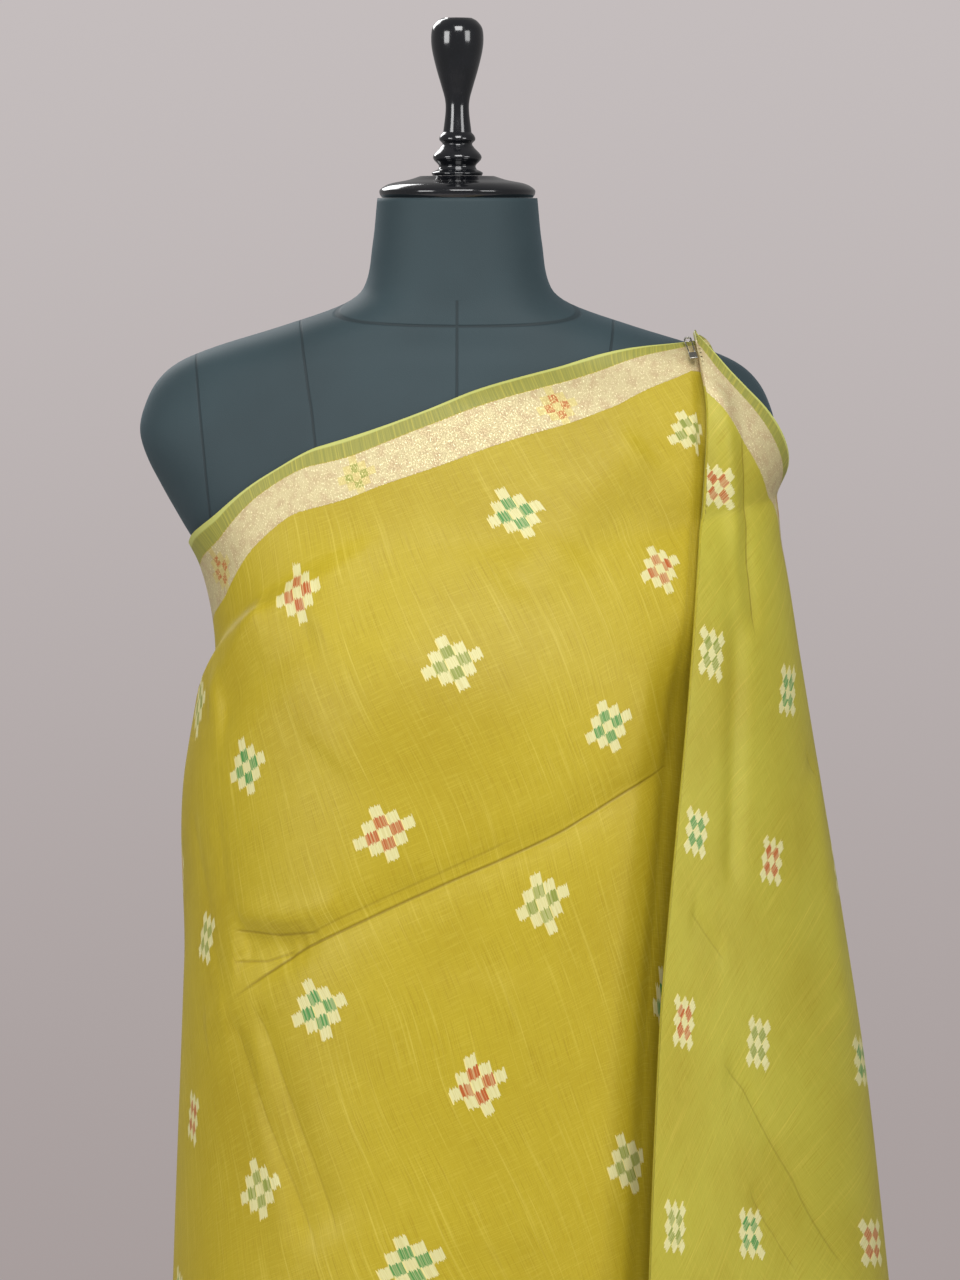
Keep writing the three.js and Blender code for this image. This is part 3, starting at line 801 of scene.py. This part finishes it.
# Turned pieces: radius and height in millimetres, from the axis to the axis; a third value marks a sharp edge
neckTop = 1519
turnings = {
    "neck_cap_turned": {
        "replaces": "neck_cap", "slot": "lacquer", "base": neckTop + 0.3, "around": 160, "steps": 8,
        "profile": [
            (0, 0, 1), (49, 0, 1), (50.5, 2.5), (50, 5.5), (44, 9), (32, 11.5), (24, 14, 1), (0, 14, 1),
        ],
    },
    "top_knob_turned": {
        "replaces": "top_knob", "slot": "lacquer", "base": neckTop + 14.6, "around": 120, "steps": 8,
        "profile": [
            (0, 0, 1), (16, 0, 1), (16.4, 2), (12.6, 4, 1), (12, 6.5), (15.4, 10.5), (15.2, 13.5),
            (11, 18, 1),
            (9.6, 20.5), (11.6, 23), (11.2, 25.5), (9.2, 28, 1), (7.7, 41), (8, 49), (10.4, 58), (13.6, 69),
            (16.2, 80), (17, 88), (16.2, 95), (13, 99.5), (9.5, 101.6, 1), (8.4, 100.6, 1), (0, 100.2, 1),
        ],
    },
    "stand_foot_turned": {
        "replaces": "stand_foot", "slot": "stand_steel", "base": 0, "around": 200, "steps": 4,
        "profile": [
            (0, 0, 1), (147, 0, 1), (150, 3), (150, 9), (120, 15), (52, 20, 1), (46, 24, 1), (0, 24, 1),
        ],
    },
    "stand_pole_turned": {
        "replaces": "stand_pole", "slot": "stand_steel", "base": 24.3, "around": 80, "steps": 4,
        "profile": [
            (0, 0, 1), (30, 0, 1), (30, 26, 1), (17, 34, 1), (17, 723.4, 1), (46, 723.4, 1), (46, 735.4, 1),
            (0, 735.4, 1),
        ],
    },
}


# Curves run smoothly through the profile's points and stop at the sharp ones
def smoothProfile(profile, steps):
    places = [np.array(p[:2], float) for p in profile]
    sharp = [len(p) > 2 for p in profile]
    path = [places[0]]
    for k in range(len(places) - 1):
        a, b = places[k], places[k + 1]
        runA = (b - a) if sharp[k] else (b - places[k - 1]) / 2
        runB = (b - a) if sharp[k + 1] else (places[k + 2] - a) / 2
        straight = sharp[k] and sharp[k + 1]
        for step in range(1, 2 if straight else steps + 1):
            f = 1 if straight else step / steps
            f2, f3 = f * f, f * f * f
            path.append((2 * f3 - 3 * f2 + 1) * a + (f3 - 2 * f2 + f) * runA
                        + (3 * f2 - 2 * f3) * b + (f3 - f2) * runB)
    return path


def makeTurning(name, turning):
    path = smoothProfile(turning["profile"], turning["steps"])
    work = bmesh.new()
    rings = []
    for radius, height in path:
        z = (turning["base"] + height) / 1000
        if radius < 0.01:
            rings.append([work.verts.new((0, 0, z))])
            continue
        turns = [2 * math.pi * k / turning["around"] for k in range(turning["around"])]
        radius = radius / 1000
        rings.append([work.verts.new((radius * math.cos(a), radius * math.sin(a), z)) for a in turns])
    for low, high in zip(rings, rings[1:]):
        for k in range(turning["around"]):
            n = (k + 1) % turning["around"]
            corners = [low[k % len(low)], low[n % len(low)], high[n % len(high)], high[k % len(high)]]
            work.faces.new(list(dict.fromkeys(corners)))
    bmesh.ops.recalc_face_normals(work, faces=work.faces)
    for face in work.faces:
        face.smooth = True
    for line in work.edges:
        line.smooth = len(line.link_faces) != 2 or line.calc_face_angle() < math.radians(32)
    mesh = bpy.data.meshes.new(name)
    work.to_mesh(mesh)
    work.free()
    piece = bpy.data.objects.new(name, mesh)
    bpy.context.scene.collection.objects.link(piece)
    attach(piece, "root")
    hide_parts(turning["replaces"])
    turning["slot"]
    return piece


# A safety pin of bent wire: coil, two arms, and a folded cap over the point; millimetres in its own frame
safetyPin = {
    "place": (150, -42, 1422.9), "lean": 36, "turn": 10, "wire": 0.42, "length": 22, "coil": 2.1, "sides": 10,
    "arm": 1.9, "capLength": 6.2, "capWidth": 2.6, "capDepth": 1.1,
}


def pinRoute():
    half = safetyPin["length"] / 2
    coil = safetyPin["coil"]
    route = [(-safetyPin["arm"], -half + 3, 0), (-safetyPin["arm"] * 1.05, 0, 0)]
    for step in range(33):
        turn = math.radians(180 - 540 * step / 32)
        route.append((coil * math.cos(turn), half - coil + coil * math.sin(turn), 0.5 * (step / 16 - 1)))
    return route + [(safetyPin["arm"] * 1.05, 0, 0), (safetyPin["arm"], -half + 3, 0)]


def sweepWire(work, route, radius, sides):
    route = [Vector(p) for p in route]
    before = None
    for k, here in enumerate(route):
        ahead = (route[min(k + 1, len(route) - 1)] - route[max(k - 1, 0)]).normalized()
        across = ahead.cross(Vector((0, 0, 1))).normalized()
        lift = across.cross(ahead)
        ring = []
        for side in range(sides):
            turn = 2 * math.pi * side / sides
            ring.append(work.verts.new(here + radius * (math.cos(turn) * across + math.sin(turn) * lift)))
        if before:
            for side in range(sides):
                n = (side + 1) % sides
                work.faces.new((before[side], before[n], ring[n], ring[side]))
        else:
            work.faces.new(ring[::-1])
        before = ring
    work.faces.new(before)


def makePin():
    work = bmesh.new()
    sweepWire(work, pinRoute(), safetyPin["wire"], safetyPin["sides"])
    cap = bmesh.ops.create_cube(work, size=1)["verts"]
    capSize = (safetyPin["capWidth"] * 2, safetyPin["capLength"], safetyPin["capDepth"])
    bmesh.ops.scale(work, verts=cap, vec=capSize)
    bmesh.ops.translate(work, verts=cap, vec=(0, -safetyPin["length"] / 2 + safetyPin["capLength"] / 2, 0))
    edges = list({line for v in cap for line in v.link_edges})
    bmesh.ops.bevel(work, geom=edges, offset=0.5, segments=4, profile=0.5, affect="EDGES")
    bmesh.ops.recalc_face_normals(work, faces=work.faces)
    for face in work.faces:
        face.smooth = True
    mesh = bpy.data.meshes.new("safety_pin")
    work.to_mesh(mesh)
    work.free()
    pose = Matrix.Translation([p / 1000 for p in safetyPin["place"]])
    pose = pose @ Matrix.Rotation(math.radians(safetyPin["lean"]), 4, "X")
    pose = pose @ Matrix.Rotation(math.radians(safetyPin["turn"]), 4, "Z")
    mesh.transform(pose @ Matrix.Scale(0.001, 4))
    piece = bpy.data.objects.new("safety_pin", mesh)
    bpy.context.scene.collection.objects.link(piece)
    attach(piece, "root")
    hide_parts("shoulder_pin")
    return piece


# One number, colour or vector in a material, so that shader maths reads as ordinary expressions
class Value:
    def __init__(self, finish, socket):
        self.finish = finish
        self.socket = socket

    def maths(self, operation, *others):
        return self.finish.maths(operation, self, *others)

    def __add__(self, other):
        return self.maths("ADD", other)

    def __sub__(self, other):
        return self.maths("SUBTRACT", other)

    def __mul__(self, other):
        return self.maths("MULTIPLY", other)

    def __truediv__(self, other):
        return self.maths("DIVIDE", other)

    def __rsub__(self, other):
        return self.finish.maths("SUBTRACT", other, self)

    def __rtruediv__(self, other):
        return self.finish.maths("DIVIDE", other, self)

    def __lt__(self, other):
        return self.maths("LESS_THAN", other)

    def __gt__(self, other):
        return self.maths("GREATER_THAN", other)

    def __abs__(self):
        return self.maths("ABSOLUTE")

    def __round__(self):
        return self.maths("ROUND")

    __radd__ = __add__
    __rmul__ = __mul__


# A material, or the room's world, and the nodes that feed its shader
class Finish:
    def __init__(self, material, shader):
        material.use_nodes = True
        self.material = material
        self.tree = material.node_tree
        self.shader = self.tree.nodes[shader]

    # Any node: its type, its settings, which are set first, then its sockets by name or number
    def node(self, kind, settings=None, sockets=None, output=0):
        node = self.tree.nodes.new("ShaderNode" + kind)
        for key, value in (settings or {}).items():
            setattr(node, key, value)
        for key, value in (sockets or {}).items():
            self.feed(node.inputs[key], value)
        return Value(self, node.outputs[output])

    def feed(self, socket, value):
        if isinstance(value, Value):
            self.tree.links.new(value.socket, socket)
        else:
            socket.default_value = value

    # One axis of a vector, by number
    def axis(self, vector, number):
        return self.node("SeparateXYZ", None, {0: vector}, output=number)

    def maths(self, operation, *values):
        return self.node("Math", {"operation": operation}, dict(enumerate(values)))

    # 0 below low, 1 above high, smooth between
    def step(self, value, low, high):
        settings = {"interpolation_type": "SMOOTHSTEP"}
        return self.node("MapRange", settings, {"Value": value, "From Min": low, "From Max": high})

    def blend(self, share, first, second):
        return self.node("Mix", {"data_type": "RGBA"}, {0: share, 6: first, 7: second}, output=2)

    def place(self, x, y, z=0.0):
        return self.node("CombineXYZ", None, {0: x, 1: y, 2: z})

    def noise(self, place, scale=1.0, detail=2.0, rough=0.5):
        sockets = {"Vector": place, "Scale": scale, "Detail": detail, "Roughness": rough}
        return self.node("TexNoise", None, sockets)

    def bump(self, height, strength=1.0, distance=0.001):
        normal = self.node("Bump", None, {"Height": height, "Strength": strength, "Distance": distance})
        self.set({"Normal": normal})

    def set(self, sockets):
        for key, value in sockets.items():
            self.feed(self.shader.inputs[key], value)


def newFinish(name):
    return Finish(bpy.data.materials.new(name), "Principled BSDF")


# Colours are given as they look on a screen, 0 to 255
def colour(red, green, blue):
    shares = [c / 255 for c in (red, green, blue)]
    return tuple(c / 12.92 if c < 0.04 else ((c + 0.055) / 1.055) ** 2.4 for c in shares) + (1.0,)


silk = {
    "field": colour(187, 166, 38), "deep": colour(158, 132, 16), "light": colour(218, 200, 84),
    # the crease colour is painted shade for the bottom of creases
    # the end colour is painted sheen, for the greener look of the shot silk on the hanging end that turns to
    # the side
    "endPaintedSheen": colour(184, 176, 62), "paintedCreaseShade": colour(112, 88, 14),
    "cream": colour(226, 220, 162), "creamLine": colour(240, 226, 150),
    "red": colour(184, 80, 22), "green": colour(60, 140, 66), "pale": colour(136, 148, 56),
    "selvedge": colour(146, 146, 70), "edge": colour(192, 194, 108),
    "zari": colour(204, 189, 142), "zariGlint": colour(250, 242, 196), "zariRose": colour(188, 162, 122),
    "cellAlong": 0.0073, "cellDown": 0.0076, "thread": 0.0009, "feather": 0.0034,
    "bandCellAlong": 0.0062, "bandCellDown": 0.0056, "bandFeather": 0.002, "bandEdge": 0.0006,
    "cord": (0.0010, 0.0018), "endTone": (-0.02, 0.12), "relief": 0.0006,
    "roughness": 0.50, "sheen": 0.10, "sheenRoughness": 0.4, "specular": 0.3,
}

# How often each kind of unevenness comes in a metre, along the cloth and down it
yarns = {
    "slub": (520, 9), "thread": (1900, 30), "cloud": (9, 9), "weft": (60, 1500), "ragged": (700, 300),
    "glint": (900, 650), "patch": (130, 130), "grain": (2600, 90), "cross": (90, 2600),
}


# The diamond chart: how many cells each point is from the middle of its diamond, and which diamond it is
def diamondChart(finish, s, t, feather):
    down = (t + feather - diamonds["firstDown"]) / diamonds["stepDown"]
    row = round(down)
    along = ((s - diamonds["firstAlong"]) / diamonds["stepAlong"] - row) / 2
    column = round(along)
    offAlong = (along - column) * (2 * diamonds["stepAlong"] / silk["cellAlong"])
    offDown = (down - row) * (diamonds["stepDown"] / silk["cellDown"])
    cells = abs(round(offAlong)) + abs(round(offDown))
    kind = finish.maths("FLOORED_MODULO", row - column, 3)
    return cells, kind, offAlong - round(offAlong)


def makeSilk():
    finish = newFinish("tussar silk")
    flat = finish.node("UVMap", {"uv_map": "flat"})
    s = finish.axis(flat, 0)
    t = finish.axis(flat, 1)
    edge = cloth["width"] / 2 - abs(t - cloth["width"] / 2)

    def yarn(name, detail=1.0, rough=0.5):
        along, down = yarns[name]
        return finish.noise(finish.place(s * along, t * down), 1.0, detail, rough)

    # slubs and single threads run across the width, which is along t
    slub = yarn("slub", 3.0, 0.6)
    thread = yarn("thread", 2.0)
    cloud = yarn("cloud", 2.0)
    weft = yarn("weft")
    # painted sheen: the hanging end is made greener, as the shot silk looks where that end turns to the side
    base = finish.blend(finish.step(s, *silk["endTone"]), silk["field"], silk["endPaintedSheen"])
    base = finish.blend(finish.step(slub, 0.52, 0.78) * 0.55, base, silk["light"])
    base = finish.blend(finish.step(thread, 0.50, 0.30) * 0.40, base, silk["deep"])
    base = finish.blend(finish.step(cloud, 0.35, 0.75) * 0.35, base, silk["deep"])
    base = finish.blend(finish.step(weft, 0.45, 0.75) * 0.20, base, silk["light"])

    # diamonds, with the ends of their cells feathered thread by thread
    loose = finish.noise(finish.place(s / silk["thread"], t * 4), 1.0, 1.0)
    cells, kind, across = diamondChart(finish, s, t, (loose - 0.5) * (2 * silk["feather"]))
    inField = finish.step(edge, weave["band"] + 0.003, weave["band"] + 0.004)
    inside = (cells < 2.5) * inField
    coloured = (abs(cells - 1) < 0.5) * inside
    tint = finish.blend(kind > 0.5, silk["red"], silk["pale"])
    tint = finish.blend(kind > 1.5, tint, silk["green"])
    cream = finish.blend((across < -0.40), silk["cream"], silk["creamLine"])
    cover = 0.72 + finish.step(thread, 0.35, 0.6) * 0.25
    base = finish.blend(inside * cover, base, cream)
    base = finish.blend(coloured * (0.55 + finish.step(loose, 0.4, 0.6) * 0.4), base, tint)

    # the band of metal thread, and the plain edge beyond it
    ragged = (yarn("ragged", 2.0) - 0.5) * silk["bandFeather"]
    band = finish.step(edge + ragged, weave["selvedge"], weave["selvedge"] + silk["bandEdge"])
    band = band * (1 - finish.step(edge + ragged, weave["band"], weave["band"] + silk["bandEdge"]))
    glint = yarn("glint", 3.0, 0.7)
    patch = yarn("patch", 2.0)
    zari = finish.blend(finish.step(patch, 0.42, 0.68) * 0.7, silk["zari"], silk["zariRose"])
    # painted highlights: bright specks where the metal thread catches the light
    zari = finish.blend(finish.step(glint, 0.54, 0.68), zari, silk["zariGlint"])
    bandStep = ((s - diamonds["firstAlong"] + diamonds["bandShift"]) / diamonds["stepAlong"] - 1) / 2
    bandAlong = (bandStep - round(bandStep)) * (2 * diamonds["stepAlong"] / silk["bandCellAlong"])
    bandDown = (edge - diamonds["bandDown"] + (loose - 0.5) * silk["bandFeather"]) / silk["bandCellDown"]
    bandCells = abs(round(bandAlong)) + abs(round(bandDown))
    everyOther = finish.maths("FLOORED_MODULO", round(bandStep), 2)
    bandTint = finish.blend(everyOther > 0.5, silk["pale"], silk["red"])
    zari = finish.blend((bandCells < 2.5) * 0.35, zari, silk["light"])
    zari = finish.blend((abs(bandCells - 1) < 0.5) * finish.step(glint, 0.62, 0.45) * 0.8, zari, bandTint)
    selvedge = 1 - finish.step(edge, weave["selvedge"] - 0.0004, weave["selvedge"] + 0.0004)
    plain = finish.blend(finish.step(slub, 0.4, 0.8) * 0.6, silk["selvedge"], silk["light"])
    base = finish.blend(selvedge, base, plain)
    base = finish.blend(1 - finish.step(edge, *silk["cord"]), base, silk["edge"])
    base = finish.blend(band, base, zari)

    # painted shade: a thin dark line along the bottom of each crease, where the fold lies in shade
    line = 0.0
    for layer in range(creaseLook["layers"]):
        side = finish.node("Attribute", {"attribute_name": f"creaseSide{layer}"}, output=2)
        depth = finish.node("Attribute", {"attribute_name": f"creaseShadeStrength{layer}"}, output=2)
        line = line + (1 - finish.step(abs(side), 0.0, creaseLook["width"])) * depth
    base = finish.blend(line * creaseLook["dark"], base, silk["paintedCreaseShade"])

    finish.set({
        "Base Color": base,
        "Roughness": silk["roughness"] - band * 0.06 - slub * 0.08,
        "Metallic": band * finish.step(glint, 0.42, 0.62) * 0.38,
        "Sheen Weight": silk["sheen"], "Sheen Roughness": silk["sheenRoughness"],
        "Sheen Tint": silk["light"], "Specular IOR Level": silk["specular"],
    })
    height = slub * 0.5 + yarn("grain") * 0.35 + yarn("cross") * 0.25
    height = height + band * glint * 0.9 + inside * 0.2 - line * 1.5
    finish.bump(height, 0.45, silk["relief"])
    return finish.material


formCover = {
    "cloth": colour(52, 69, 74), "dark": colour(35, 47, 51), "seam": colour(22, 28, 30),
    "bloom": colour(120, 140, 150), "roughness": 0.72, "seamShows": 0.55, "seamWidth": 0.0009,
    "shoulderSeam": 0.163, "princessLow": 0.082, "neckSeam": 1.4535, "wander": 0.004, "pucker": 0.006,
}


# Knitted cover with its seams: neck, centre front and back, armholes and the lines over the bust
def makeCover():
    finish = newFinish("form cover")
    where = finish.node("TexCoord", output=3)
    x = abs(finish.axis(where, 0))
    y = finish.axis(where, 1)
    z = finish.axis(where, 2)
    wander = (finish.noise(where, 12.0, 2.0) - 0.5) * formCover["wander"]
    neck = abs(z - formCover["neckSeam"] - (y * 0.30) + wander * 0.3)
    lean = (z - 1.30) * 0.14
    princess = abs(x - formCover["princessLow"] - lean + wander)
    armhole = abs(x - formCover["shoulderSeam"] - (z - 1.36) * 0.10 + wander * 0.4)
    middle = x + (z > formCover["neckSeam"]) * 1.0
    below = (z > formCover["neckSeam"] - 0.002) * 1.0
    nearest = finish.maths("MINIMUM", neck, finish.maths("MINIMUM", princess + below, armhole))
    nearest = finish.maths("MINIMUM", nearest, middle)
    seam = 1 - finish.step(nearest, formCover["seamWidth"] * 0.4, formCover["seamWidth"] * 1.3)
    pucker = 1 - finish.step(nearest, 0.0, formCover["pucker"])
    cloud = finish.noise(where, 7.0, 3.0)
    base = finish.blend(finish.step(cloud, 0.3, 0.7) * 0.6, formCover["cloth"], formCover["dark"])
    base = finish.blend(seam * formCover["seamShows"], base, formCover["seam"])
    rib = finish.noise(finish.place(x * 2600, y * 2600, z * 900), 1.0, 1.0)
    knit = finish.noise(where, 1900.0, 2.0)
    finish.set({
        "Base Color": base, "Roughness": formCover["roughness"] - cloud * 0.12, "Specular IOR Level": 0.4,
        "Sheen Weight": 0.35, "Sheen Roughness": 0.5, "Sheen Tint": formCover["bloom"],
    })
    finish.bump(rib * 0.25 + knit * 0.25 - seam * 1.6 - pucker * 0.4, 0.5, 0.0006)
    return finish.material


lacquerLook = {"black": colour(14, 16, 20), "smeared": colour(26, 28, 33), "roughness": 0.10, "coat": 0.6}


def makeLacquer():
    finish = newFinish("black lacquer")
    where = finish.node("TexCoord", output=3)
    smear = finish.noise(where, 40.0, 3.0)
    dust = finish.noise(where, 900.0, 2.0)
    base = finish.blend(finish.step(smear, 0.4, 0.8) * 0.5, lacquerLook["black"], lacquerLook["smeared"])
    finish.set({
        "Base Color": base,
        "Roughness": lacquerLook["roughness"] + smear * 0.10 + finish.step(dust, 0.62, 0.75) * 0.15,
        "Specular IOR Level": 0.6, "Coat Weight": lacquerLook["coat"], "Coat Roughness": 0.06,
    })
    finish.bump(smear, 0.12, 0.0006)
    return finish.material


steelLook = {"paint": colour(22, 23, 25), "worn": colour(44, 45, 47), "roughness": 0.32}


def makeStandSteel():
    finish = newFinish("stand steel")
    where = finish.node("TexCoord", output=3)
    grain = finish.noise(where, 1400.0, 2.0)
    wear = finish.noise(where, 22.0, 4.0, 0.7)
    finish.set({
        "Base Color": finish.blend(finish.step(wear, 0.45, 0.75), steelLook["paint"], steelLook["worn"]),
        "Roughness": steelLook["roughness"] + grain * 0.16, "Metallic": 0.35, "Specular IOR Level": 0.5,
    })
    finish.bump(grain, 0.25, 0.0003)
    return finish.material


pinLook = {"wire": colour(150, 148, 140), "bright": colour(196, 194, 184), "roughness": 0.22}


def makePinSteel():
    finish = newFinish("pin steel")
    where = finish.node("TexCoord", output=3)
    drawn = finish.noise(where, 2400.0, 2.0)
    finish.set({
        "Base Color": finish.blend(drawn, pinLook["wire"], pinLook["bright"]),
        "Roughness": pinLook["roughness"] + drawn * 0.15, "Metallic": 1.0,
    })
    finish.bump(drawn, 0.15, 0.0002)
    return finish.material


studio = {
    "lights": {
        "key": {"place": (0.3, -2.3, 3.3), "size": 1.5, "power": 61, "aim": (0, 0, 1.2)},
        "left": {"place": (-2.5, -2.3, 1.9), "size": 1.4, "power": 44, "aim": (0, 0, 1.1)},
        "right": {"place": (2.6, -2.5, 2.1), "size": 1.4, "power": 34, "aim": (0, 0, 1.1)},
        "back": {"place": (-1.4, 2.6, 3.0), "size": 1.6, "power": 40, "aim": (0, 0, 1.0)},
    },
    "room": (0.215, 0.210, 0.210, 1), "wallLow": colour(166, 156, 155), "wallHigh": colour(198, 191, 191),
    "wallSpan": (-0.26, 0.10), "floor": colour(206, 200, 200), "floorWorn": colour(198, 192, 192),
    "floorFade": (1.3, 3.2), "floorReach": 3.3,
}


def makeFloorPaint():
    finish = newFinish("floor paint")
    where = finish.node("TexCoord", output=3)
    cloud = finish.noise(where, 1.6, 2.0)
    base = finish.blend(cloud, studio["floor"], studio["floorWorn"])
    x = finish.axis(where, 0)
    y = finish.axis(where, 1)
    edge = 1 - finish.step(finish.maths("SQRT", x * x + y * y), *studio["floorFade"])
    finish.set({"Base Color": base, "Roughness": 0.7, "Specular IOR Level": 0.2, "Alpha": edge})
    return finish.material


# The room gives a dim even light, and behind the form it shows as a plain wall with painted light, paler
# towards the top as if lit from above
def makeRoom():
    room = Finish(bpy.data.worlds.new("studio"), "Background")
    bpy.context.scene.world = room.material
    up = room.axis(room.node("TexCoord"), 2)
    seen = room.node("LightPath")
    wall = room.blend(room.step(up, *studio["wallSpan"]), studio["wallLow"], studio["wallHigh"])
    room.set({"Color": room.blend(seen, studio["room"], wall)})


def addLight(name, lamp):
    light = bpy.data.objects.new(name, bpy.data.lights.new(name, "AREA"))
    bpy.context.scene.collection.objects.link(light)
    light.location = lamp["place"]
    light.rotation_euler = (Vector(lamp["aim"]) - light.location).to_track_quat("-Z", "Y").to_euler()
    light.data.size = lamp["size"]
    light.data.energy = lamp["power"]


saree = makeSaree()
saree.data.materials.append(makeSilk())
print("saree:", len(saree.data.polygons), "faces")
torso = makeTorso()
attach(torso, "root")
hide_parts("form_torso")
torso.data.materials.append(makeCover())
lacquer = makeLacquer()
standSteel = makeStandSteel()
for name, turning in turnings.items():
    piece = makeTurning(name, turning)
    piece.data.materials.append(lacquer if turning["slot"] == "lacquer" else standSteel)
pin = makePin()
pin.data.materials.append(makePinSteel())
print("form, stand and pin made")

# Studio
reach = studio["floorReach"]
corners = [[[-reach, -reach, 0], [-reach, reach, 0]], [[reach, -reach, 0], [reach, reach, 0]]]
floor = makeMesh("floor", np.array(corners, float))
floor.data.materials.append(makeFloorPaint())
floor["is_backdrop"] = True
for name, lamp in studio["lights"].items():
    addLight(name, lamp)
makeRoom()
makeCamera()
bpy.context.scene.view_settings.view_transform = "Standard"
print("studio made")

{"cad": [list(c) for c in cadBox], "visual": [list(c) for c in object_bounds()]}
